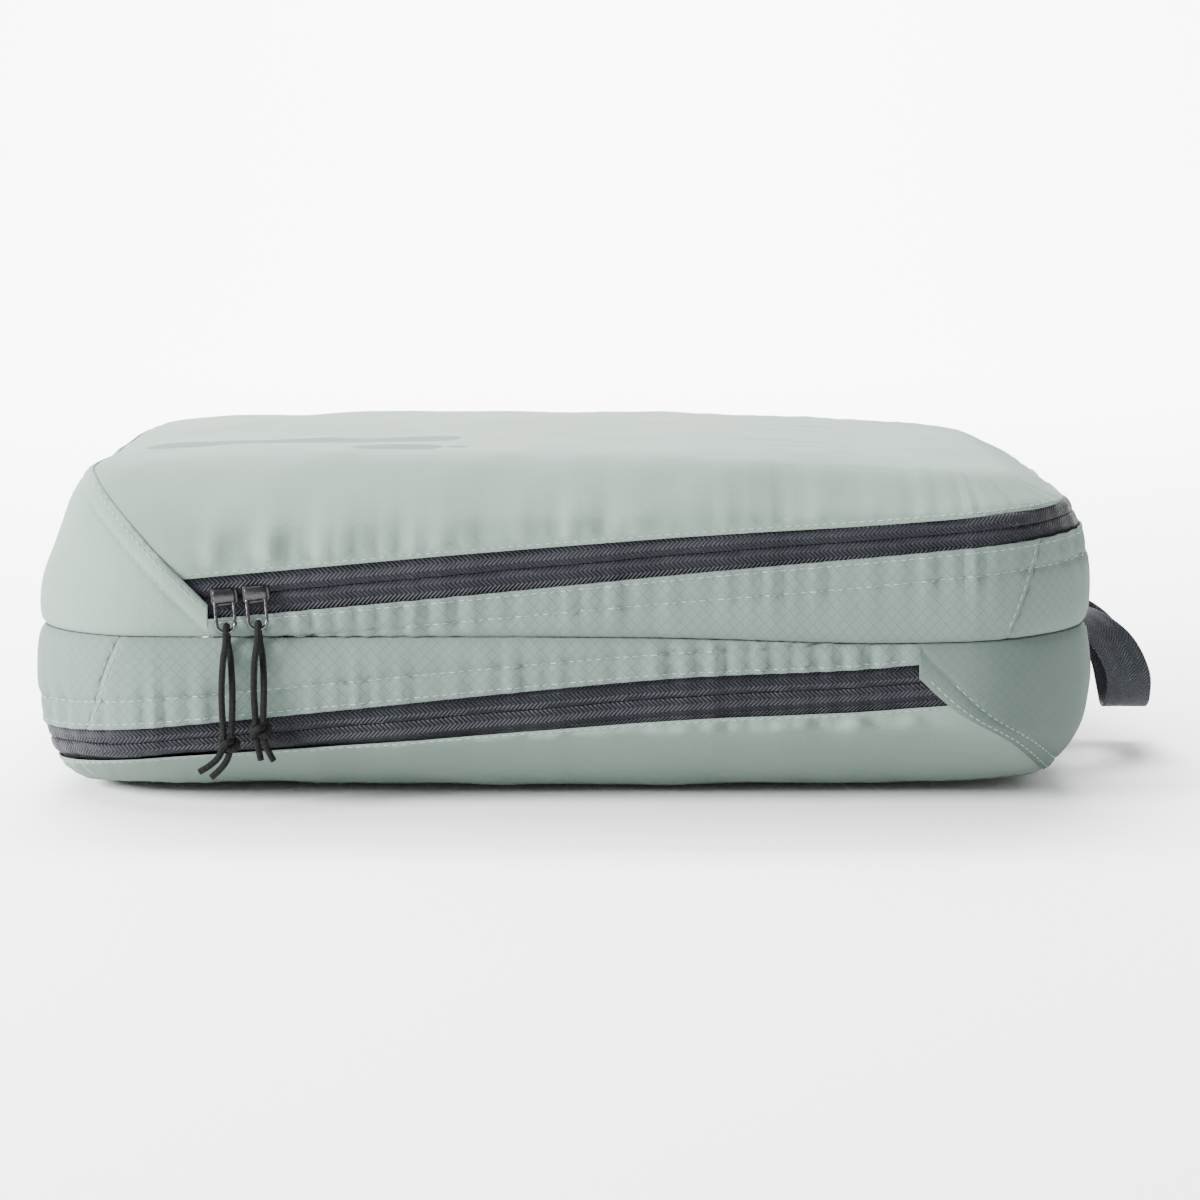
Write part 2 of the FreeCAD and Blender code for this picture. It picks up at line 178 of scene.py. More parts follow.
LYING_RIGHT = {
    "cord_a": OVER_BACK + [(-1.0, 1.9, -8), (-1.5, 2.4, -15), (-1.5, 3.9, -21.5),
                           (-1.3, 8.6, -27.2), (-1.2, 15.5, -28.6), (-0.9, 21.2, -28.9),
                           (0.8, 25.6, -30.4), (2.9, 28.4, -30.5)],
    "cord_b": OVER_FRONT + [(1.0, -1.2, -8), (1.5, 0.7, -15), (1.5, 3.3, -21.5), (1.3, 8.4, -27.2),
                            (1.2, 15.5, -28.6), (2.5, 21.0, -28.9), (5.9, 24.6, -30.4),
                            (9.3, 26.2, -30.5)],
    "knot": (0, 15.0, -28.5)}
LYING_LEFT = {
    "cord_a": OVER_BACK + [(-1.0, 1.9, -8), (-1.5, 2.3, -15), (-1.5, 3.7, -21.0),
                           (-1.3, 8.0, -26.2), (-1.2, 14.3, -27.6), (-2.4, 19.8, -28.0),
                           (-5.4, 23.6, -29.3), (-8.6, 25.6, -29.5)],
    "cord_b": OVER_FRONT + [(1.0, -1.2, -8), (1.5, 0.7, -15), (1.5, 3.1, -21.0), (1.3, 7.8, -26.2),
                            (1.2, 14.3, -27.6), (1.0, 20.0, -28.0), (-0.6, 24.6, -29.3),
                            (-2.6, 27.6, -29.5)],
    "knot": (0, 14.0, -27.5)}
# slider, its route, the ring's foot, which way is outward, the two cords' lengths
PULLS = {
    "upper_left": (HANGING_LEFT, (-110.9586, -130.6643, 60.0857), -1, (53.7, 54.3)),
    "upper_right": (HANGING_RIGHT, (-100.4586, -130.6643, 61.0400), -1, (47.2, 48.1)),
    "lower_right": (LYING_RIGHT, (113.0414, 130.6643, 32.9952), 1, (53.4, 54.9)),
    "lower_left": (LYING_LEFT, (102.5414, 130.6643, 32.0410), 1, (51.9, 53.0))}
BUNDLES = 8.0            # of yarn, round the cord each way


def braided(name, colour):
    """Braided polyester cord: crossing yarn bundles 0.8 mm wide, which read as a fine rough surface. Its
    colour is painted lighter on the crowns of the braid, a painted highlight, and darker between them,
    painted shade."""
    made, tree, shader = new_material(name)
    place = add_node(tree, "TexCoord")
    split = add_node(tree, "SeparateXYZ", _0=place.outputs["UV"])
    runs = []
    for sign in (1, -1):
        lean = add_node(tree, "Math", {"operation": "MULTIPLY_ADD"}, _0=split.outputs["Y"],
                        _1=BUNDLES * sign, _2=split.outputs["X"])
        turn = add_node(tree, "Math", {"operation": "MULTIPLY"}, _0=lean.outputs[0], _1=2 * math.pi)
        runs.append(add_node(tree, "Math", {"operation": "SINE"}, _0=turn.outputs[0]))
    braid = add_node(tree, "Math", {"operation": "MULTIPLY"}, _0=runs[0].outputs[0],
                     _1=runs[1].outputs[0])
    level = add_node(tree, "MapRange", _0=braid.outputs[0], _1=-1.0, _2=1.0, _3=0.0, _4=1.0)
    # painted highlight on the braid's crowns and painted shade between them, in the cord's own colour
    shade = add_node(tree, "Mix", {"data_type": "RGBA"}, Factor=level.outputs[0],
                     _6=srgb(colour, 0.6), _7=srgb(colour, 1.7))
    bump = add_node(tree, "Bump", Strength=0.9, Distance=0.0003, Height=level.outputs[0])
    wire(shader, Base_Color=shade.outputs[2], Normal=bump.outputs[0], Roughness=0.62,
         Sheen_Weight=0.03, Specular_IOR_Level=0.1)
    return made


cord_braid = braided("braided_polyester_cord", "#0b0b0c")
BRAID_PITCH = 3.4        # millimetres of cord for one turn of the braid


def soft_line(name, points, cyclic=False):
    """A smooth line through space, as one open or closed spline with those control points."""
    curve = bpy.data.curves.new(name, "CURVE")
    curve.dimensions = "3D"
    curve.resolution_u = 10
    spline = curve.splines.new("NURBS")
    spline.points.add(len(points) - 1)
    for point, at in zip(spline.points, points):
        point.co = (*at, 1)
    spline.order_u = 3
    spline.use_endpoint_u = not cyclic
    spline.use_cyclic_u = cyclic
    return curve


def cord_tube(name, points, diameter, cyclic=False):
    """A cord laid along a line, with its map in turns of the braid, and the line it follows."""
    curve = soft_line(name, points, cyclic)
    holder = add_object(name, curve)
    line = [v.co.copy() for v in bpy.data.meshes.new_from_object(holder).vertices]
    curve.bevel_depth = diameter / 2
    curve.bevel_resolution = 4
    curve.use_fill_caps = True
    bpy.context.view_layer.update()
    mesh = bpy.data.meshes.new_from_object(holder)
    bpy.data.objects.remove(holder)
    length = sum((b - a).length for a, b in zip(line, line[1:]))
    for loop in mesh.uv_layers[0].data:
        loop.uv = (loop.uv[0] * length / (BRAID_PITCH * MM), loop.uv[1])
    made = bmesh.new()
    made.from_mesh(mesh)
    bmesh.ops.remove_doubles(made, verts=made.verts, dist=1e-6)
    bmesh.ops.recalc_face_normals(made, faces=made.faces)
    made.to_mesh(mesh)
    made.free()
    mesh.shade_smooth()
    mesh.materials.clear()
    mesh.materials.append(cord_braid)
    return add_object(name, mesh), line


KNOT_POINTS = 15


def knot_points(centre, drop_way):
    """An overhand knot's own loop: three lobes wound round the two strands."""
    across = drop_way.cross(Vector((0, 1, 0))).normalized()
    deep = drop_way.cross(across).normalized()
    made = []
    for step in range(KNOT_POINTS):
        turn = step * 4 * math.pi / KNOT_POINTS
        reach = 1.85 + 0.95 * math.cos(1.5 * turn)
        offset = (across * (1.25 * reach * math.cos(turn)) + deep * (0.8 * reach * math.sin(turn))
                  + drop_way * (1.75 * math.sin(1.5 * turn)))
        made.append(centre + MM * offset)
    return made


for pull, (route, foot, outward_way, lengths) in PULLS.items():
    placed = {part: [MM * (Vector(foot) + Vector((x, outward_way * y, z))) for x, y, z in points]
              for part, points in route.items() if part != "knot"}
    x, y, z = route["knot"]
    centre = MM * (Vector(foot) + Vector((x, outward_way * y, z)))
    drop_way = Vector((0.12, 0.0, -1.0)) if outward_way < 0 else Vector((0.1, 1.0, -0.1))
    knot, _ = cord_tube(pull + "_overhand_knot", knot_points(centre, drop_way.normalized()),
                        KNOT_CORD * MM, cyclic=True)
    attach(knot, pull + "_pull")
    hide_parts(pull + "_pull_knot")
    for part, length in zip(("cord_a", "cord_b"), lengths):
        cord, line = cord_tube(pull + "_" + part, placed[part], CORD * MM)
        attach(cord, pull + "_pull")
        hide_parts(pull + "_pull_" + part)


# ---- The cloth shell ---------------------------------------------------------------------
# Coated ripstop nylon sewn into a soft box and stuffed full: a top, a bottom, two end
# panels and two gusset bands. Everything is cut from one filled form, so that the seams
# meet. Lengths are in millimetres until a piece is finished.

GRID = 2.4               # spacing of the form's vertices
RIM_R = 26.0             # soft long edges
CORNER_R = 46.0
ZIP_BARE = 7.0           # zip tape that shows on each side of its middle
CLOTH = 0.5
UP = Vector((0, 0, 1))
HALVES = ((False, "upper_"), (True, "lower_"))

MID = (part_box("divider_panel")[0][2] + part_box("divider_panel")[1][2]) / 2 / MM
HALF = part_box("upper_gusset_end")[1][0] / MM
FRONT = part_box("top_panel")[1][1] / MM
joints = {joint["name"]: joint for joint in frame["joints"]}
zip_axis = joints["upper_right_slide"]["axis"]
ZIP_SLOPE = zip_axis[2] / zip_axis[0]
HINGE_X = joints["upper_lid_hinge"]["pos_m"][0] / MM
HINGE_H = joints["upper_lid_hinge"]["pos_m"][2] / MM - MID
SEAM_X = -118.0          # where the slanted seam starts
SEAM_H = 10.1            # and how far above the mid seam
ZIP_H = 13.0             # the zip's middle there


def cut(made, place, facing, keep=False):
    """Cuts a shape along a plane and, unless both sides are kept, drops what is behind."""
    return bmesh.ops.bisect_plane(made, geom=made.verts[:] + made.edges[:] + made.faces[:],
                                  dist=1e-4, plane_co=place, plane_no=facing,
                                  clear_inner=not keep)["geom_cut"]


def rims_of(made):
    """The level edges between the walls of a boxed shape and its top and bottom."""
    return [e for e in made.edges if abs(e.verts[0].co.z - e.verts[1].co.z) < 0.1
            and len(e.link_faces) == 2
            and abs(e.link_faces[0].normal.z - e.link_faces[1].normal.z) > 0.5]


def form():
    """The boxed form, with a fine even grid on every side. Heights run from the mid seam."""
    made = bmesh.new()
    bmesh.ops.create_cube(made, size=2.0, matrix=Matrix.Diagonal((HALF, FRONT, MID, 1)))
    uprights = [e for e in made.edges if abs(e.verts[0].co.z - e.verts[1].co.z) > 1]
    bmesh.ops.bevel(made, geom=uprights, offset=CORNER_R, affect="EDGES", segments=18, profile=0.5,
                    material=-1)
    bmesh.ops.bevel(made, geom=rims_of(made), offset=RIM_R, affect="EDGES", segments=12,
                    profile=0.5, material=-1)
    for axis, reach in ((0, HALF), (1, FRONT), (2, MID)):
        count = int(2 * reach / GRID)
        for step in range(1, count):
            place, facing = Vector(), Vector()
            place[axis] = -reach + 2 * reach * step / count
            facing[axis] = 1
            cut(made, place, facing, keep=True)
    return made


def zip_h(x):
    """Height of the zip's middle above the mid seam."""
    return ZIP_H + ZIP_SLOPE * (x - SEAM_X)


ZIP_UP = Vector((-ZIP_SLOPE, 0, 1)).normalized()
ZIP_MIDDLE = Vector((0, 0, zip_h(0)))
SEAM_FOOT = Vector((SEAM_X, 0, SEAM_H))
SEAM_ALONG = Vector((HINGE_X - SEAM_X, 0, HINGE_H - SEAM_H)).normalized()
SEAM_OVER = Vector((SEAM_ALONG.z, 0, -SEAM_ALONG.x))
CROSS_FOOT = Vector((147.0, 0, 0))      # the cross seam near the far end
CROSS_LEAN = Vector((27.5, 0, -11.0)).normalized()


def above_mid(made, height):
    cut(made, UP * height, UP)


def above_zip(made, offset):
    cut(made, ZIP_MIDDLE + ZIP_UP * offset, ZIP_UP)


def below_zip(made, offset):
    cut(made, ZIP_MIDDLE + ZIP_UP * offset, -ZIP_UP)


def beyond_seam(made, offset):
    cut(made, SEAM_FOOT + SEAM_OVER * offset, SEAM_OVER)


def before_seam(made, offset):
    cut(made, SEAM_FOOT + SEAM_OVER * offset, -SEAM_OVER)


def past_zip(x, h):
    """Distance above the middle of the zip, square to it."""
    return (h - zip_h(x)) * ZIP_UP.z


def corner_split(x, y):
    """How far points are past the middles of the upright corners, and that as a distance."""
    qx = np.maximum(np.abs(x) - (HALF - CORNER_R), 0) * np.sign(x)
    qy = np.maximum(np.abs(y) - (FRONT - CORNER_R), 0) * np.sign(y)
    return qx, qy, np.maximum(np.hypot(qx, qy), 1e-6)


def outward(p):
    """Unit normals of the boxed form at points on or near it."""
    x, y, h = p.T
    qx, qy, reach = corner_split(x, y)
    side = np.clip((reach - (CORNER_R - RIM_R)) / RIM_R, 0, None)
    rise = np.maximum(np.abs(h) - (MID - RIM_R), 0) / RIM_R * np.sign(h)
    normals = np.stack([qx / reach * side, qy / reach * side, rise], axis=1)
    return normals / np.maximum(np.linalg.norm(normals, axis=1, keepdims=True), 1e-6)


def run_round(x, y):
    """Distance round the form's walls, from the middle of the front past the end x > 0."""
    qx, qy, _ = corner_split(x, y)
    flat_x, flat_y = HALF - CORNER_R, FRONT - CORNER_R
    turn = np.arctan2(np.abs(qx), np.maximum(np.abs(qy), 1e-9)) * CORNER_R
    quarter = math.pi / 2 * CORNER_R
    run = np.where(y < -flat_y, np.clip(x, None, flat_x) + turn * (x > flat_x), 0)
    run = np.where(np.abs(y) <= flat_y, flat_x + quarter + y + flat_y, run)
    back = flat_x + 2 * quarter + 2 * flat_y
    return np.where(y > flat_y, back - turn * (x > flat_x) + np.clip(flat_x - x, 0, None), run)


def smooth(value, low, high):
    """Goes from 0 at low to 1 at high, and eases at both ends."""
    share = np.clip((value - low) / (high - low), 0, 1)
    return share * share * (3 - 2 * share)


def unevenness(p, seed, size):
    """Slow waves through space, between about -1 and 1, with a given length in millimetres."""
    total = 0
    for index in range(7):
        a, b = seed * 1.7 + index * 2.4, seed * 0.9 + index * 1.3
        way = np.array([math.cos(a) * math.cos(b), math.sin(a) * math.cos(b), math.sin(b)])
        total = total + 0.8 ** index * np.sin(p @ way * 2 * math.pi * (1 + 0.37 * index) / size + a + b)
    return total / 2.6


def bell(distance, width):
    return np.exp(-(distance / width) ** 2)


PILLOW = 46.0            # how far in the cover's slope reaches where it is tallest
PUCKER_PITCH = 8.3       # between the small gathers beside a zip
DENT_PITCH = 25.0        # between the broader dents in the cover above them
RIPPLE_PITCH = 47.0      # between the slow ripples of the zip's tape
STITCH_LINE = 8.5        # the gusset's second stitch line, from the zip's edge
BELLY = 2.4              # how far the full walls bulge
LEFT_SAG = 9.0           # how far the left end draws in towards the top


def standing_out(p, run, kind):
    """How far a panel stands out from the form: hems, gathers and seams."""
    x, _, h = p.T
    from_zip = past_zip(x, h)
    from_seam = (x - SEAM_X) * SEAM_OVER.x + (h - SEAM_H) * SEAM_OVER.z
    rub = 0.8 + 0.45 * np.sin(run * 0.37 + 1.3) + 0.4 * np.sin(run * 0.113) + 1.1 * bell(x + 72, 34)
    wave = np.sin(run * 2 * np.pi / PUCKER_PITCH + 1.4 * np.sin(run * 0.09)) * rub
    groove = -0.9 * bell(h, 1.3) - 0.35 * bell(h, 4.0)
    if kind == "gusset":
        edge = -from_zip - ZIP_BARE
        gather = bell(edge - STITCH_LINE * 0.45, 4.0)
        after = np.exp(-np.clip(edge - STITCH_LINE, 0, None) / 6.0) * (edge > STITCH_LINE)
        cross = (x - CROSS_FOOT.x) * CROSS_LEAN.x + h * CROSS_LEAN.z
        return (0.75 * wave * gather - 0.7 * bell(edge - STITCH_LINE, 1.2) + 0.4 * bell(edge, 1.6)
                + 0.5 * after * wave + groove - 0.5 * bell(cross, 1.0) + 0.25 * bell(cross + 2.6, 2.0))
    if kind == "cover":
        edge = from_zip - ZIP_BARE
        calm = np.exp(-np.clip(edge - 2, 0, None) / 8.0)
        dent = np.sin(run * 2 * np.pi / DENT_PITCH + 1.8 * np.sin(run / 17.0)) * rub
        slope = bell(edge - 9.0, 10.0) * smooth(edge, 0, 6) * (1 - smooth(x, 80, 130))
        folds = 0.7 * wave * calm * smooth(edge, 0, 6) + 0.75 * dent * slope
        folds = folds * smooth(from_seam, 1, 16)
        return folds - 0.4 * bell(edge, 3.0) - 0.3 * (1 - smooth(from_seam, 1.0, 7.0))
    if kind == "end":
        fold = np.clip(1 + from_seam / 10.0, 0, 1)
        return (0.35 * fold + 0.3 * bell(from_seam + 2.6, 2.0)
                - 0.5 * bell(from_seam + 6.0, 0.8) + groove)
    if kind == "tape":
        ripple = 0.5 * np.sin(run * 2 * np.pi / RIPPLE_PITCH + 0.8) * smooth(x, -95, -60)
        return (0.14 * wave + ripple + 0.25 * bell(np.abs(from_zip) - 3.2, 2.2)
                - 0.45 * bell(from_zip, 0.6) - 1.0 * smooth(np.abs(from_zip), 4.6, 8.0))
    return 0 * x


def settle(p, kind, lower, inset=0.0):
    """Moves points of the boxed form to where the stuffed cube has them, in millimetres."""
    normals = outward(p)
    x, y, h = p.T
    run = run_round(-x if kind == "end" else x, y)
    from_zip = past_zip(x, h)
    # the sliders run on one wall only, and there the zip keeps its straight line
    near_zip = bell(np.clip(np.abs(from_zip) - 7, 0, None), 9.0) * smooth(x, -135, -112)
    slider_wall = smooth(-y if not lower else y, FRONT - 60, FRONT - 10)
    held = near_zip * (0.55 + 0.45 * slider_wall)
    past_end = smooth(x, -150, -110)
    edge_share = smooth(h, zip_h(x) + 3, MID) * past_end + smooth(h, 20, MID) * (1 - past_end)
    out = standing_out(p, run, kind) - inset
    # above the zip the cover leans in like a pillow, further than the form's own round edge
    foot = np.where(x > SEAM_X, zip_h(x), ZIP_H) + 7
    climb = np.clip((h - foot) / (MID - foot), 0, 1)
    own = RIM_R - np.sqrt(np.clip(RIM_R ** 2 - np.clip(h - MID + RIM_R, 0, None) ** 2, 0, None))
    reach_in = PILLOW * (MID - foot) / (MID - ZIP_H - 7)
    lean_in = np.clip(reach_in * (1 - np.sqrt(np.clip(1 - climb ** 2, 0, None))) - own, 0, None)
    inside = np.clip(FRONT - RIM_R - np.abs(y), 0, None)
    lean_in = lean_in * np.exp(-inside / 34) * smooth(np.abs(y), 0, 50) * (0.3 if lower else 1)
    belly = BELLY * np.sin(np.pi * np.clip(np.abs(h) / MID, 0, 1) ** 0.8) * (1 - held)
    p = p + normals * out[:, None]
    # towards the far end the cloth's edges lie closer together over the tape
    uphill = np.array(ZIP_UP) - normals * (normals @ np.array(ZIP_UP))[:, None]
    beside = np.exp(-np.clip(np.abs(from_zip) - ZIP_BARE, 0, None) / 12)
    shift = 1.6 * smooth(x, -60, 140) * beside
    if kind == "cover":
        shift = (0.8 + 1.0 * smooth(-x, -20, 110)) * beside if lower else -shift
    p = p + uphill * shift[:, None] if kind in ("gusset", "cover") else p
    p[:, 1] -= np.sign(y) * lean_in * (1 - smooth(np.abs(x), HALF - CORNER_R, HALF))
    # some of the ends are squarer than the form
    square = 0.42 if lower else 0.3 * (x < 0)
    p[:, 0] += np.sign(x) * own * square * smooth(np.abs(x), HALF - 70, HALF - 25)
    if lower:
        p, normals = p * [-1, 1, -1], normals * [-1, 1, -1]
    x, y, h = p.T.copy()
    across, deep, high = x / HALF, y / FRONT, h / MID
    up, down = np.clip(high, 0, None), np.clip(-high, 0, None)
    end, wall = np.abs(across) ** 7, np.abs(deep) ** 7
    right = across > 0
    draw_in = np.where(right, 7.0 * up ** 1.6 + 5.0 * down ** 1.5,
                       LEFT_SAG * smooth(up, 0.0, 0.75) + 1.5 * down ** 2)
    steep = smooth(up, 0.62, 1.15) * 9.0 + smooth(down, 0.62, 1.15) * 6.0
    x = x - np.sign(x) * (draw_in - belly - 1.0) * end
    y = y - np.sign(y) * wall * (steep - belly * (1 - across ** 6))
    crown = (1 - across ** 4) * (1 - deep ** 4)
    tip = np.where(right, 4.5, 2.0) * np.abs(across) ** 4 + 16.0 * np.abs(deep) ** 6 * (1 - end * 0.6)
    if lower:
        front = smooth(-y, 70, 125)
        h = h + edge_share * tip
        h = h + front * np.sin(np.pi * np.clip(down, 0, 1) ** 0.7) * (0.3 - 2.0 * smooth(x, 30, 110))
    else:
        fall = 5.5 * (1 - crown) + 4.0 * right * across ** 4
        h = h + up * (1.2 * crown - 1.8 * smooth(x, 30, 120)) - edge_share * fall
    h = h - 2.4 * bell(x - 105, 62) * bell(h, 16) * wall
    p = np.stack([x, y, h + MID], axis=1)
    sway = unevenness(p, 1.3, 95.0) * 0.9 + unevenness(p, 4.1, 38.0) * 0.28
    p = p + normals * (sway * (1 - held))[:, None]
    p[:, 2] = np.maximum(p[:, 2], 0.15 + inset)
    return p, run


def put(made, name, thick=0.0):
    """Turns a finished shape in millimetres into an object at the origin, in metres."""
    bmesh.ops.scale(made, vec=(MM, MM, MM), verts=made.verts)
    bmesh.ops.recalc_face_normals(made, faces=made.faces)
    mesh = bpy.data.meshes.new(name)
    made.to_mesh(mesh)
    made.free()
    mesh.shade_smooth()
    made = add_object(name, mesh)
    if thick:
        wall = made.modifiers.new("thickness", "SOLIDIFY")
        wall.thickness = thick * MM
        wall.offset = -1
    return made


def sewn(made, name, kind, lower, thick=CLOTH, inset=0.0):
    """Gives a cut panel its stuffed shape, its pattern map and its thickness."""
    bmesh.ops.remove_doubles(made, verts=made.verts, dist=0.02)
    made.verts.index_update()
    p = np.array([v.co for v in made.verts])
    x, y, h = p.T
    final, run = settle(p, kind, lower, inset)
    if kind == "cover":
        _, _, reach = corner_split(x, y)
        fall = np.clip(MID - h, 0, None)
        sideways = np.abs(y) > FRONT - RIM_R
        u = np.where(sideways, x, x + np.sign(x) * fall)
        v = np.where(sideways, y + np.sign(y) * fall, y)
    elif kind == "tape":
        u, v = run, past_zip(x, h)
    else:
        u, v = run, h
    layer = made.loops.layers.uv.new("weave")
    for face in made.faces:
        for loop in face.loops:
            index = loop.vert.index
            loop[layer].uv = (u[index] * MM, v[index] * MM)
    for vertex, place in zip(made.verts, final):
        vertex.co = place
    return put(made, name, thick)


whole = form()


def crease(made, place, facing, offsets):
    """Adds edges beside a line, so that a narrow crease keeps its shape there."""
    for offset in offsets:
        cut(made, place + facing * offset, facing, keep=True)


MID_GAP = 0.04           # from the mid seam to each half's cloth
MID_CREASE = (0.6, 1.3, 2.4)


def cover_cut():
    """Lid cloth: the top and the strips that come down to the zip."""
    made = whole.copy()
    above_zip(made, ZIP_BARE)
    beyond_seam(made, -5.0)
    crease(made, ZIP_MIDDLE, ZIP_UP, (ZIP_BARE + 1.0, ZIP_BARE + 2.4, ZIP_BARE + 3.4, ZIP_BARE + 4.6))
    return made


def end_cut():
    """End cloth, folded under along the slanted seam, which lies over the lid's cloth."""
    made = whole.copy()
    above_mid(made, MID_GAP)
    before_seam(made, 1.0)
    cut(made, Vector((SEAM_X + 0.6, 0, 0)), Vector((-1, 0, 0)))
    crease(made, SEAM_FOOT, SEAM_OVER, (-1.2, -5.0, -6.0, -7.0))
    crease(made, Vector(), UP, MID_CREASE)
    return made


def gusset_cut(place):
    """One length of the band between the mid seam and the zip."""
    made = whole.copy()
    above_mid(made, MID_GAP)
    below_zip(made, -ZIP_BARE)
    cut(made, Vector((SEAM_X - 1.5, 0, 0)), Vector((1, 0, 0)))
    beside = (1.0, 2.2, STITCH_LINE - 1.2, STITCH_LINE, STITCH_LINE + 1.2)
    crease(made, ZIP_MIDDLE, -ZIP_UP, [ZIP_BARE + d for d in beside])
    crease(made, CROSS_FOOT, CROSS_LEAN, (-2.6, -1.2, 1.2))
    crease(made, Vector(), UP, MID_CREASE)
    if place == "end":
        cut(made, CROSS_FOOT, CROSS_LEAN)
        return made
    cut(made, CROSS_FOOT, -CROSS_LEAN)
    cut(made, Vector(), Vector((0, -1 if place == "front" else 1, 0)))
    return made


GRID_PITCH = 4.0         # between the ripstop's thicker threads, level with the seams


def ripstop(name, colour, grid_strength):
    """Coated nylon ripstop, woven and then coated on the back: a low sheen, a faint grid of
    thicker threads 4 mm apart, and slow uneven shading where the cloth has been handled. The
    fine weave between them is drawn as half-millimetre grain, coarser than it is."""
    made, tree, shader = new_material(name)
    place = add_node(tree, "TexCoord")
    split = add_node(tree, "SeparateXYZ", _0=place.outputs["UV"])
    lines = []
    for sign in (1, -1):
        lean = add_node(tree, "Math", {"operation": "MULTIPLY_ADD"}, _0=split.outputs["Y"],
                        _1=float(sign), _2=split.outputs["X"])
        count = add_node(tree, "Math", {"operation": "MULTIPLY"}, _0=lean.outputs[0],
                         _1=2 * math.pi / (GRID_PITCH * MM))
        wave = add_node(tree, "Math", {"operation": "COSINE"}, _0=count.outputs[0])
        lines.append(add_node(tree, "MapRange", _0=wave.outputs[0], _1=0.84, _2=1.0, _3=0.0, _4=1.0))
    grid = add_node(tree, "Math", {"operation": "MAXIMUM"}, _0=lines[0].outputs[0],
                    _1=lines[1].outputs[0])
    weave = add_node(tree, "TexNoise", _0=place.outputs["Object"], Scale=1900.0, Detail=2.0)
    slow = add_node(tree, "TexNoise", _0=place.outputs["Object"], Scale=16.0, Detail=4.0)
    shade = add_node(tree, "Mix", {"data_type": "RGBA"}, Factor=slow.outputs["Fac"],
                     _6=srgb(colour, 0.86), _7=srgb(colour, 1.1))
    worn = add_node(tree, "Math", {"operation": "MULTIPLY"}, _0=grid.outputs[0],
                    _1=0.35 * grid_strength)
    woven = add_node(tree, "Mix", {"data_type": "RGBA"}, Factor=worn.outputs[0],
                     _6=shade.outputs[2], _7=srgb(colour, 0.7))
    rise = add_node(tree, "Math", {"operation": "MULTIPLY_ADD"}, _0=grid.outputs[0],
                    _1=0.8 * grid_strength, _2=weave.outputs["Fac"])
    bump = add_node(tree, "Bump", Strength=0.35, Distance=0.0003, Height=rise.outputs[0])
    wire(shader, Base_Color=woven.outputs[2], Normal=bump.outputs[0], Roughness=0.75,
         Sheen_Weight=0.02, Specular_IOR_Level=0.05)
    return made, woven


band_cloth, _ = ripstop("ripstop_nylon_bias_cut", "#616f6a", 1.0)
lid_cloth, _ = ripstop("ripstop_nylon", "#6c7c73", 0.22)
end_cloth, _ = ripstop("ripstop_nylon_end", "#6f8076", 0.3)
# the lower end panel, at the right end, gets a darker copy of the end cloth: painted shade on the side
# away from the light
painted_shade_end_cloth, _ = ripstop("ripstop_nylon_end_shaded", "#535f5a", 0.5)
top_cloth, printed = ripstop("ripstop_nylon_printed", "#6c7c73", 0.22)

# A plain print of two rounded bars and a dot on the top, in ink a little greyer than the
# cloth: each one's middle across and deep, its half length and its half width, in metres.
PRINT = ((-0.0925, -0.046, 0.056, 0.010), (-0.058, -0.074, 0.016, 0.007),
         (-0.037, -0.074, 0.004, 0.004))
INK_EDGE = 0.0004
INK_STRENGTH = 0.85
tree = top_cloth.node_tree
place = add_node(tree, "TexCoord")
split = add_node(tree, "SeparateXYZ", _0=place.outputs["Object"])
ink = None
for middle_x, middle_y, half_length, half_width in PRINT:
    off_x = add_node(tree, "Math", {"operation": "SUBTRACT"}, _0=split.outputs["X"], _1=middle_x)
    off_y = add_node(tree, "Math", {"operation": "SUBTRACT"}, _0=split.outputs["Y"], _1=middle_y)
    reach = add_node(tree, "Math", {"operation": "ABSOLUTE"}, _0=off_x.outputs[0])
    past = add_node(tree, "Math", {"operation": "SUBTRACT"}, _0=reach.outputs[0],
                    _1=half_length - half_width)
    beyond = add_node(tree, "Math", {"operation": "MAXIMUM"}, _0=past.outputs[0], _1=0.0)
    square = add_node(tree, "Math", {"operation": "MULTIPLY"}, _0=beyond.outputs[0],
                      _1=beyond.outputs[0])
    both = add_node(tree, "Math", {"operation": "MULTIPLY_ADD"}, _0=off_y.outputs[0],
                    _1=off_y.outputs[0], _2=square.outputs[0])
    away = add_node(tree, "Math", {"operation": "SQRT"}, _0=both.outputs[0])
    bar = add_node(tree, "MapRange", _0=away.outputs[0], _1=half_width, _2=half_width - INK_EDGE,
                   _3=0.0, _4=1.0)
    ink = bar if ink is None else add_node(tree, "Math", {"operation": "MAXIMUM"},
                                           _0=ink.outputs[0], _1=bar.outputs[0])
strength = add_node(tree, "Math", {"operation": "MULTIPLY"}, _0=ink.outputs[0], _1=INK_STRENGTH)
inked = add_node(tree, "Mix", {"data_type": "RGBA"}, Factor=strength.outputs[0],
                 _6=printed.outputs[2], _7=srgb("#4b5656"))
wire(tree.nodes["Principled BSDF"], Base_Color=inked.outputs[2])


def fold_over(piece):
    """Bakes the piece's placement into its mesh."""
    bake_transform(piece)


def fit(piece, material, node, body=None):
    """Gives a piece its finish, hides the part that it stands for and, if a body is given, hangs the
    piece from it.
    """
    piece.data.materials.append(material)
    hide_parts(node)
    if body:
        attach(piece, body)


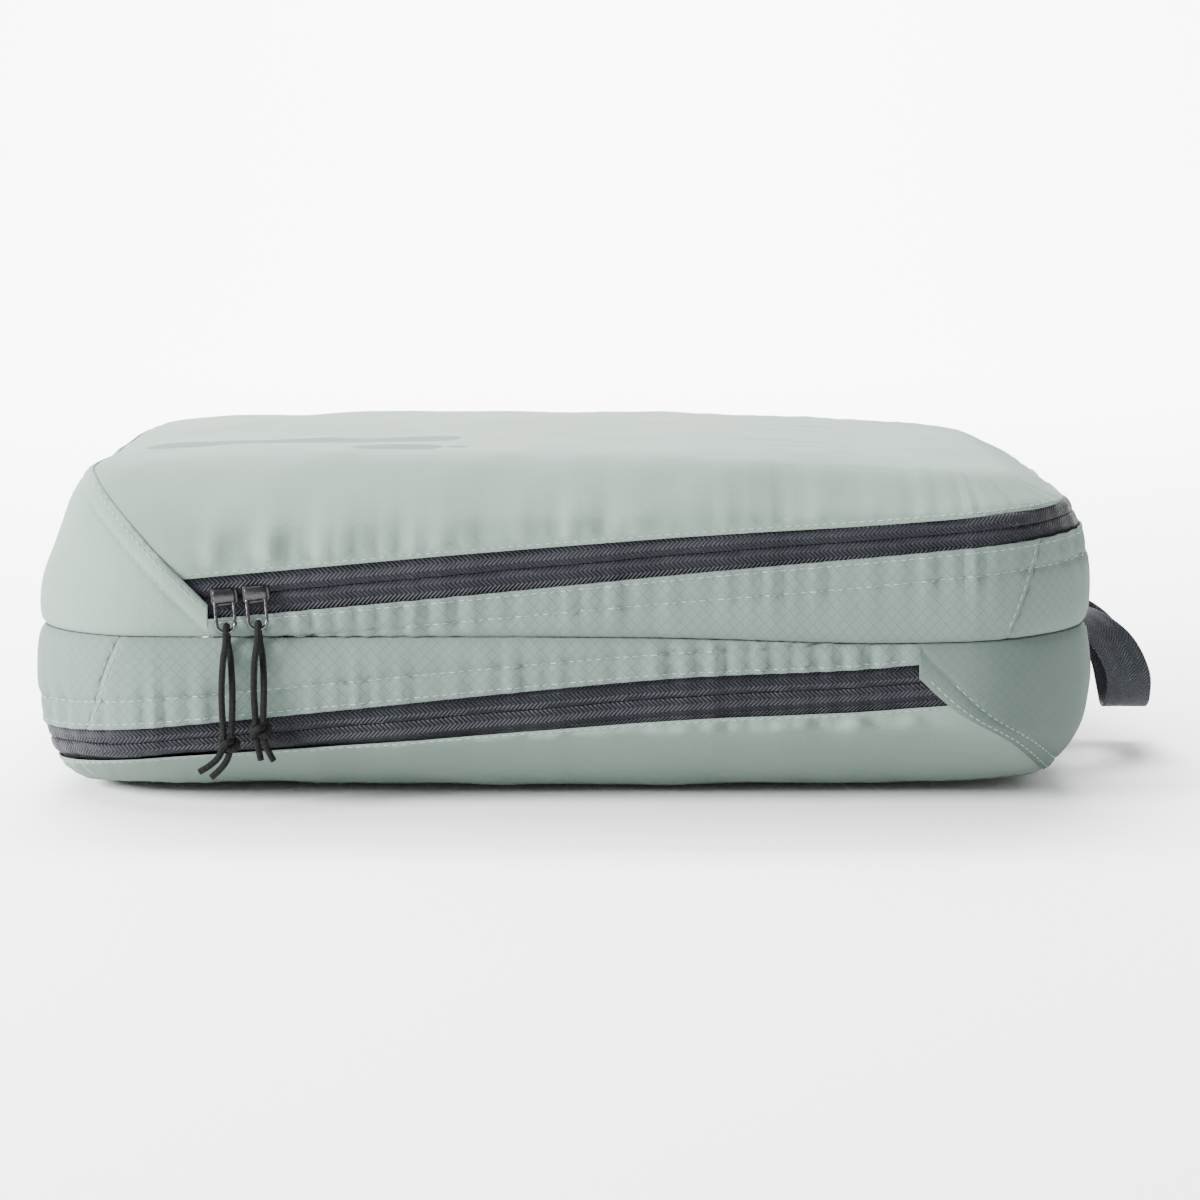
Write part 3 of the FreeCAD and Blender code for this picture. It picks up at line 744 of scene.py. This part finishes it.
for lower, half in HALVES:
    node = "bottom_panel" if lower else "top_panel"
    cover = sewn(cover_cut(), node + "_cloth", "cover", lower)
    fit(cover, lid_cloth if lower else top_cloth, node)
    fold_over(cover)
    end = sewn(end_cut(), half + "end_cloth", "end", lower)
    fit(end, painted_shade_end_cloth if lower else end_cloth, half + "end_panel", "body")
    for place in ("front", "end", "back"):
        node = half + "gusset_" + place
        band = sewn(gusset_cut(place), node + "_cloth", "gusset", lower)
        fit(band, band_cloth, node, "body")


# ---- The zips ----------------------------------------------------------------------------
# Reversed coil zip: charcoal polyester herringbone tape with its nylon coil on the inside,
# so that outside only a fine line shows where the two tapes meet.

TAPE_SUNK = 1.2          # below the cloth
TAPE = 0.45
TAPE_EDGE = 11.5
COIL = 1.2


def tape_cut(lid):
    """One half of the zip's tape, from its middle to under the cloth."""
    made = whole.copy()
    if lid:
        above_zip(made, 0.1)
        below_zip(made, TAPE_EDGE)
        beyond_seam(made, -2.0)
    else:
        below_zip(made, -0.1)
        above_zip(made, -TAPE_EDGE)
        cut(made, Vector((SEAM_X - 6, 0, 0)), Vector((1, 0, 0)))
        above_mid(made, 1.0)
    return made


def coil_cut(lid):
    """One row of the coil, against the back of its tape."""
    made = whole.copy()
    if lid:
        above_zip(made, 0.3)
        below_zip(made, 2.0)
        beyond_seam(made, 0.5)
    else:
        below_zip(made, -0.3)
        above_zip(made, -2.0)
        cut(made, Vector((SEAM_X, 0, 0)), Vector((1, 0, 0)))
    return made


def herringbone(name, colour, pitch, column, contrast, rough):
    """Woven polyester herringbone: matt, with fine twill ribs that change direction from
    column to column. The ribs are drawn about twice as far apart as they are, so they show."""
    made, tree, shader = new_material(name)
    place = add_node(tree, "TexCoord")
    split = add_node(tree, "SeparateXYZ", _0=place.outputs["UV"])
    across = add_node(tree, "Math", {"operation": "PINGPONG"}, _0=split.outputs["Y"], _1=column * MM)
    lean = add_node(tree, "Math", {"operation": "ADD"}, _0=across.outputs[0], _1=split.outputs["X"])
    count = add_node(tree, "Math", {"operation": "MULTIPLY"}, _0=lean.outputs[0],
                     _1=2 * math.pi / (pitch * MM))
    rib = add_node(tree, "Math", {"operation": "SINE"}, _0=count.outputs[0])
    lint = add_node(tree, "TexNoise", _0=place.outputs["Object"], Scale=1200.0, Detail=3.0)
    both = add_node(tree, "Math", {"operation": "MULTIPLY_ADD"}, _0=lint.outputs["Fac"], _1=1.2,
                    _2=rib.outputs[0])
    level = add_node(tree, "MapRange", _0=both.outputs[0], _1=-0.9, _2=1.7, _3=0.0, _4=1.0)
    shade = add_node(tree, "Mix", {"data_type": "RGBA"}, Factor=level.outputs[0],
                     _6=srgb(colour, 1 - contrast), _7=srgb(colour, 1 + contrast))
    bump = add_node(tree, "Bump", Strength=0.7, Distance=0.0003, Height=both.outputs[0])
    wire(shader, Base_Color=shade.outputs[2], Normal=bump.outputs[0], Roughness=rough,
         Sheen_Weight=0.03, Specular_IOR_Level=0.15)
    return made


tape_cloth = herringbone("polyester_zip_tape", "#1c1d23", 1.5, 2.3, 0.6, 0.55)
# moulded nylon coil: half glossy, ridged across by its turns
coil_plastic, tree, shader = new_material("nylon_zip_coil")
place = add_node(tree, "TexCoord")
ridges = add_node(tree, "TexWave", {"bands_direction": "X"}, _0=place.outputs["UV"], Scale=180.0)
bump = add_node(tree, "Bump", Strength=0.8, Distance=0.0004, Height=ridges.outputs["Fac"])
wire(shader, Base_Color=srgb("#141517"), Normal=bump.outputs[0], Roughness=0.4)

for lower, half in HALVES:
    for lid in (True, False):
        side = half + ("lid" if lid else "body")
        tape = sewn(tape_cut(lid), side + "_tape", "tape", lower, TAPE, TAPE_SUNK)
        fit(tape, tape_cloth, side + "_zip_tape")
        coil = sewn(coil_cut(lid), side + "_coil", "tape", lower, COIL, TAPE_SUNK + TAPE + 0.1)
        fit(coil, coil_plastic, side + "_zip_coil")
        for piece in (tape, coil):
            if lid:
                fold_over(piece)
            else:
                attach(piece, "body")


# ---- Topstitching ------------------------------------------------------------------------
# Lockstitch in a thread a little lighter than the cloth, 2.3 mm stitches: beside both edges
# of each zip, on the gusset's second line, and along the slanted and upright seams.

STITCH = 2.3
STITCH_GAP = 0.75
THREAD_R = 0.22
THREAD_LIFT = 0.08       # how far a stitch's middle lies above the cloth
BATCH = 30               # stitches made at a time, which is quicker than all at once

# twisted polyester thread: a dull gloss broken up by its twist
thread, tree, shader = new_material("polyester_thread")
place = add_node(tree, "TexCoord")
twist = add_node(tree, "TexNoise", _0=place.outputs["Object"], Scale=2600.0, Detail=1.0)
bump = add_node(tree, "Bump", Strength=0.5, Distance=0.0001, Height=twist.outputs["Fac"])
wire(shader, Base_Color=srgb("#81928a"), Normal=bump.outputs[0], Roughness=0.5)


def seam_points(place, facing, wanted):
    """Points on the boxed form along a straight cut, in order, with gaps where it stops."""
    made = whole.copy()
    edges = [e for e in cut(made, place, facing, keep=True)
             if isinstance(e, bmesh.types.BMEdge) and all(wanted(v.co) for v in e.verts)]
    beside = {}
    for e in edges:
        for v in e.verts:
            beside.setdefault(v, []).append(e)
    chains, used = [], set()
    starts = [v for v in beside if len(beside[v]) == 1] or list(beside)[:1]
    for start in starts:
        chain, at = [start.co.copy()], start
        while True:
            onward = [e for e in beside[at] if e not in used]
            if not onward:
                break
            used.add(onward[0])
            at = onward[0].other_vert(at)
            chain.append(at.co.copy())
        if len(chain) > 2:
            chains.append(np.array(chain))
    made.free()
    return chains


def run_along(points):
    """How far along a line each of its points is."""
    return np.concatenate([[0], np.cumsum(np.linalg.norm(np.diff(points, axis=0), axis=1))])


def stitched(name, chains, kind, lower):
    """A run of stitches laid on the finished surface along those points."""
    made, bundle = bmesh.new(), bpy.data.meshes.new("stitches")
    for chain in chains:
        gone = run_along(chain)
        starts = np.arange(0.6, gone[-1] - STITCH, STITCH + STITCH_GAP)
        ends = [np.stack([np.interp(starts + extra, gone, chain[:, k]) for k in range(3)], axis=1)
                for extra in (0, STITCH)]
        low, high = [settle(places, kind, lower, -THREAD_LIFT)[0] for places in ends]
        pairs = list(zip(low, high))
        for first in range(0, len(pairs), BATCH):
            few = bmesh.new()
            for a, b in pairs[first:first + BATCH]:
                way = Vector(b) - Vector(a)
                turn = way.to_track_quat("Z", "Y").to_matrix().to_4x4()
                size = Matrix.Diagonal((THREAD_R, THREAD_R, way.length / 2, 1))
                middle = Matrix.Translation((Vector(a) + Vector(b)) / 2)
                bmesh.ops.create_uvsphere(few, u_segments=6, v_segments=4, radius=1,
                                          matrix=middle @ turn @ size)
            few.to_mesh(bundle)
            few.free()
            made.from_mesh(bundle)
    bpy.data.meshes.remove(bundle)
    piece = put(made, name)
    piece.data.materials.append(thread)
    return piece


def zip_line(offset, wanted):
    return seam_points(ZIP_MIDDLE + ZIP_UP * offset, ZIP_UP, wanted)


def slant_line(offset):
    return seam_points(SEAM_FOOT + SEAM_OVER * offset, SEAM_OVER, lambda v: v.z > SEAM_H)


BESIDE = 1.5             # from an edge to the stitches beside it
lid_seams = zip_line(ZIP_BARE + BESIDE, lambda v: (v - SEAM_FOOT).dot(SEAM_OVER) > BESIDE)
band_seams = (zip_line(-ZIP_BARE - BESIDE, lambda v: v.x > SEAM_X + BESIDE and v.z > 1)
              + zip_line(-ZIP_BARE - STITCH_LINE, lambda v: v.x > SEAM_X + 40 and v.z > 3)
              + seam_points(CROSS_FOOT - CROSS_LEAN * 1.6, CROSS_LEAN,
                            lambda v: v.z > 2 and past_zip(v.x, v.z) < -ZIP_BARE - 1))
end_seams = slant_line(-1.2) + slant_line(-6.0)

for lower, half in HALVES:
    fold_over(stitched(half + "lid_stitching", lid_seams, "cover", lower))
    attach(stitched(half + "band_stitching", band_seams, "gusset", lower), "body")
    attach(stitched(half + "end_stitching", end_seams, "end", lower), "body")


# ---- Bindings, divider and label ---------------------------------------------------------
# Inside, grosgrain tape binds the raw edges of the mid seam and of the slanted seams. A
# light cloth divider is sewn into the mid seam, and a blank care label into the left end.

BINDING = 0.5
BINDING_WIDTH = 8.0
UNDER_MID = 2.6          # how far inside the cloth each binding lies
UNDER_SLANT = 1.8

# grosgrain: matt, with ribs close together across its length
grosgrain, tree, shader = new_material("ribbed_grosgrain_binding")
place = add_node(tree, "TexCoord")
ribs = add_node(tree, "TexWave", {"bands_direction": "X"}, _0=place.outputs["UV"], Scale=420.0)
tone = add_node(tree, "Mix", {"data_type": "RGBA"}, Factor=ribs.outputs["Fac"],
                _6=srgb("#202524"), _7=srgb("#343b39"))
bump = add_node(tree, "Bump", Strength=0.6, Distance=0.0002, Height=ribs.outputs["Fac"])
wire(shader, Base_Color=tone.outputs[2], Normal=bump.outputs[0], Roughness=0.75, Sheen_Weight=0.1)

for lower, half in HALVES:
    strip = whole.copy()
    above_mid(strip, 0.8)
    cut(strip, UP * BINDING_WIDTH, -UP)
    strip = sewn(strip, half + "mid_seam_binding", "binding", lower, BINDING, UNDER_MID)
    fit(strip, grosgrain, half + "mid_binding", "body")
    strip = whole.copy()
    before_seam(strip, -0.6)
    beyond_seam(strip, -BINDING_WIDTH)
    above_mid(strip, SEAM_H)
    strip = sewn(strip, half + "slant_seam_binding", "binding", lower, BINDING, UNDER_SLANT)
    fit(strip, grosgrain, half + "corner_binding", "body")

# plain taffeta: thin and even, a shade lighter and darker where it has creased
lining, tree, shader = new_material("light_lining_taffeta")
place = add_node(tree, "TexCoord")
weave = add_node(tree, "TexNoise", _0=place.outputs["Object"], Scale=1500.0, Detail=2.0)
slow = add_node(tree, "TexNoise", _0=place.outputs["Object"], Scale=22.0, Detail=3.0)
tone = add_node(tree, "Mix", {"data_type": "RGBA"}, Factor=slow.outputs["Fac"],
                _6=srgb("#616e68"), _7=srgb("#7b8982"))
bump = add_node(tree, "Bump", Strength=0.4, Distance=0.0002, Height=weave.outputs["Fac"])
wire(shader, Base_Color=tone.outputs[2], Normal=bump.outputs[0], Roughness=0.6)

DIVIDER_INSET = 3.4      # inside the gussets, all round
DIVIDER_WAVE = 0.35
half_length, half_width = HALF - DIVIDER_INSET, FRONT - DIVIDER_INSET
arc = CORNER_R - DIVIDER_INSET
sheet = bmesh.new()
bmesh.ops.create_grid(sheet, x_segments=72, y_segments=52, size=1,
                      matrix=Matrix.Diagonal((half_length, half_width, 1, 1)))
for side_x in (-1, 1):
    for side_y in (-1, 1):
        for step in range(9):
            turn = math.radians(5 + 10 * step)
            facing = Vector((side_x * math.cos(turn), side_y * math.sin(turn), 0))
            middle = Vector((side_x * (HALF - CORNER_R), side_y * (FRONT - CORNER_R), 0))
            cut(sheet, middle + facing * arc, -facing)
for v in sheet.verts:
    x, y, _ = v.co
    shape = (1 - (x / HALF) ** 4) * (1 - (y / FRONT) ** 4)
    wave = math.sin(x * 0.045 + 0.4) * math.cos(y * 0.05) + 0.4 * math.sin(x * 0.11 + y * 0.06)
    v.co.z = MID + shape * wave * DIVIDER_WAVE
divider = put(sheet, "divider_cloth", 0.3)
fit(divider, lining, "divider_panel", "body")

# satin ribbon: smooth and a little glossy, off-white, with its weave just showing
satin, tree, shader = new_material("woven_satin_ribbon")
place = add_node(tree, "TexCoord")
weave = add_node(tree, "TexNoise", _0=place.outputs["Object"], Scale=1800.0, Detail=2.0)
tone = add_node(tree, "Mix", {"data_type": "RGBA"}, Factor=weave.outputs["Fac"],
                _6=srgb("#d6d6d0"), _7=srgb("#efefea"))
wire(shader, Base_Color=tone.outputs[2], Roughness=0.35)
label_low, label_high = [Vector(v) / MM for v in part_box("care_label")]
ribbon = bmesh.new()
bmesh.ops.create_grid(ribbon, x_segments=24, y_segments=10, size=1)
for v in ribbon.verts:
    drop, side = (v.co.x + 1) / 2, v.co.y
    height = label_high.z - drop * (label_high.z - label_low.z - 2)
    drawn_in = 2.2 + LEFT_SAG * smooth((height - MID) / MID, 0.0, 0.75)
    v.co = Vector((label_low.x + drawn_in + 1.6 * drop * drop + 0.3 * side * side,
                   side * (label_high.y - label_low.y) / 2, height))
fit(put(ribbon, "blank_care_label", 0.25), satin, "care_label", "body")


# ---- Sliders and rings -------------------------------------------------------------------
# Die-cast zinc sliders with a dark gunmetal plating: a tapered body plate over the coils and
# a hooked bridge that holds the wire ring. The rings are the frame's own, given their finish.

SLIDER_LENGTH = 9.0
SLIDER_WIDTH = 6.4
SLIDER_TAPER = 0.86      # its nose is that much narrower
PLATE = 1.0
HOOK_WALL = 0.85
HOOK_STEP = 0.9          # the bridge is eight of these wide, along the zip
HOOK_STEPS = 8
# the bridge seen along the zip: across it, and outward from the plate's top
HOOK_SIDE = [(2.0, -0.35), (2.75, 0.25), (2.95, 1.1), (2.6, 1.9), (1.7, 2.35), (0.3, 2.5),
             (-1.1, 2.35), (-2.0, 1.85), (-2.35, 1.15)]


def gunmetal(name, colour, rough, scratch):
    """Plated metal: dark, glossy with a soft edge, finely scratched where it rubs."""
    made, tree, shader = new_material(name)
    place = add_node(tree, "TexCoord")
    wear = add_node(tree, "TexNoise", _0=place.outputs["Object"], Scale=700.0, Detail=4.0)
    tone = add_node(tree, "Mix", {"data_type": "RGBA"}, Factor=wear.outputs["Fac"],
                    _6=srgb(colour, 0.75), _7=srgb(colour, 1.3))
    shine = add_node(tree, "MapRange", _0=wear.outputs["Fac"], _1=0.3, _2=0.7,
                     _3=rough - 0.08, _4=rough + 0.1)
    bump = add_node(tree, "Bump", Strength=scratch, Distance=0.0001, Height=wear.outputs["Fac"])
    wire(shader, Base_Color=tone.outputs[2], Roughness=shine.outputs[0], Normal=bump.outputs[0],
         Metallic=1.0)
    return made


slider_metal = gunmetal("gunmetal_plated_zinc", "#3a393b", 0.3, 0.25)
ring_metal = gunmetal("gunmetal_plated_wire", "#5a585c", 0.22, 0.15)


def slider_body():
    """One slider lying flat: x along the zip, y across it, z outward from the plate's top."""
    made = bmesh.new()
    shape = Matrix.Diagonal((SLIDER_LENGTH, SLIDER_WIDTH, PLATE, 1))
    bmesh.ops.create_cube(made, size=1, matrix=Matrix.Translation((0, 0, -PLATE / 2)) @ shape)
    for v in made.verts:
        if v.co.x > 0:
            v.co.y *= SLIDER_TAPER
    corners = [e for e in made.edges if abs(e.verts[0].co.z - e.verts[1].co.z) > 0.5]
    bmesh.ops.bevel(made, geom=corners, offset=1.5, affect="EDGES", segments=5, profile=0.5, material=-1)
    bmesh.ops.bevel(made, geom=rims_of(made), offset=0.28, affect="EDGES", segments=3, profile=0.5,
                    material=-1)
    hook = bmesh.new()
    line = [hook.verts.new((0, y, z)) for y, z in HOOK_SIDE]
    for a, b in zip(line, line[1:]):
        hook.edges.new((a, b))
    row = hook.verts[:]
    for _ in range(HOOK_STEPS):
        edges = [e for e in hook.edges if all(v in row for v in e.verts)]
        grown = bmesh.ops.extrude_edge_only(hook, edges=edges)["geom"]
        row = [v for v in grown if isinstance(v, bmesh.types.BMVert)]
        bmesh.ops.translate(hook, verts=row, vec=(HOOK_STEP, 0, 0))
    bmesh.ops.translate(hook, verts=hook.verts, vec=(-HOOK_STEP * HOOK_STEPS / 2, 0, 0))
    for v in hook.verts:
        v.co.x *= 1.0 - 0.2 * max(0.0, (-v.co.y - 0.6) / 2) ** 2 - 0.16 * max(0.0, (v.co.y - 1.6) / 1.3)
        v.co.z -= 0.07 * max(abs(v.co.x) - 2.2, 0) ** 2 * (1 if v.co.z > 0.6 else 0)
    bmesh.ops.recalc_face_normals(hook, faces=hook.faces)
    bmesh.ops.solidify(hook, geom=hook.faces[:], thickness=HOOK_WALL)
    bmesh.ops.recalc_face_normals(hook, faces=hook.faces)
    rims = [e for e in hook.edges if len(e.link_faces) == 2 and e.calc_face_angle() > 1.0]
    bmesh.ops.bevel(hook, geom=rims, offset=0.2, affect="EDGES", segments=2, profile=0.5, material=-1)
    joined = bpy.data.meshes.new("hook")
    hook.to_mesh(joined)
    hook.free()
    made.from_mesh(joined)
    bpy.data.meshes.remove(joined)
    return made


for pull, (_, _, way, _) in PULLS.items():
    low, high = [Vector(v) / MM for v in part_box(pull + "_slider")]
    lean = math.atan(ZIP_SLOPE)
    along = Vector((math.cos(lean), 0, math.sin(lean)))
    out = Vector((0, way, 0))
    upward = Vector((-along.z, 0, along.x))
    nose = along if way < 0 else -along
    turn = Matrix((nose, upward, out)).transposed().to_4x4()
    middle = Vector(((low.x + high.x) / 2, way * (FRONT + 0.1), (low.z + high.z) / 2))
    made = slider_body()
    bmesh.ops.transform(made, matrix=Matrix.Translation(middle) @ turn, verts=made.verts)
    slider = put(made, pull + "_slider_body")
    smoothing = slider.modifiers.new("smoothing", "SUBSURF")
    smoothing.levels = smoothing.render_levels = 1
    fit(slider, slider_metal, pull + "_slider", pull + "_slider")
    bpy.data.objects[pull + "_pull_ring"].material_slots[0].material = ring_metal


# ---- The handle --------------------------------------------------------------------------
# A loop of 16 mm charcoal herringbone webbing. Both ends are sewn into the mid seam with the
# webbing upright, and it turns over on the way out, so the loop hangs with its bend down.

WEBBING_WIDTH = 16.0
WEBBING = 1.3
WEBBING_CUP = 0.35       # how far its edges curl
HANDLE_AT = Vector((178.0, 0, MID))
HANDLE_ROUTE = [((-3.0, -24, 0.4), (0, 1, 0)), ((0.4, -24, 0.2), (0.02, 1, 0)),
                ((5.0, -24.5, -4.0), (0.2, 0.97, 0)), ((12.0, -25, -9.5), (0.55, 0.75, 0.25)),
                ((20.5, -24, -18.0), (0.88, 0.35, 0.25)), ((26.5, -20, -29.0), (1, 0.1, 0.05)),
                ((28.0, -12, -39.0), (1, 0, 0)), ((28.0, -4.0, -43.5), (1, 0, 0))]


def smooth_route(points, places):
    """Points on a smooth line through the given ones, at places from 0 to the last."""
    points = np.array(points)
    index = np.clip(np.floor(places).astype(int), 0, len(points) - 2)
    t = (places - index)[:, None]
    before = points[np.clip(index - 1, 0, None)]
    a, b = points[index], points[index + 1]
    after = points[np.clip(index + 2, None, len(points) - 1)]
    return 0.5 * (2 * a + (b - before) * t + (2 * before - 5 * a + 4 * b - after) * t ** 2
                  + (3 * a - before - 3 * b + after) * t ** 3)


middles, widths = [[Vector(row[part]) for row in HANDLE_ROUTE] for part in (0, 1)]
middles += [Vector((v.x, -v.y, v.z)) for v in reversed(middles)]
widths += [Vector((v.x, -v.y, v.z)) for v in reversed(widths)]
for before, way in zip(widths, widths[1:]):
    if way.dot(before) < 0:
        way.negate()
strip = bmesh.new()
bmesh.ops.create_grid(strip, x_segments=120, y_segments=10, size=1)
last = len(middles) - 1
places = np.array([(v.co.x + 1) / 2 * last for v in strip.verts])
centre_line = smooth_route(middles, places)
width_way = smooth_route(widths, places)
width_way /= np.linalg.norm(width_way, axis=1, keepdims=True)
steps = np.linspace(0, last, 400)
lengths = np.interp(places, steps, run_along(smooth_route(middles, steps)))
layer = strip.loops.layers.uv.new("weave")
strip.verts.index_update()
for face in strip.faces:
    for loop in face.loops:
        loop[layer].uv = (lengths[loop.vert.index] * MM, loop.vert.co.y * WEBBING_WIDTH / 2 * MM)
for v in strip.verts:
    side, across = v.co.y, Vector(width_way[v.index])
    v.co = (HANDLE_AT + Vector(centre_line[v.index]) + across * side * WEBBING_WIDTH / 2
            + across.cross(UP) * WEBBING_CUP * side * side)
webbing = put(strip, "handle_webbing_loop", WEBBING)
webbing.modifiers["thickness"].offset = 0
rounded = webbing.modifiers.new("edges", "BEVEL")
rounded.width = 0.4 * MM
rounded.segments = 2
rounded.limit_method = "ANGLE"
webbing_cloth = herringbone("polyester_herringbone_webbing", "#2d3035", 1.3, 2.7, 0.5, 0.6)
fit(webbing, webbing_cloth, "handle_webbing", "handle")
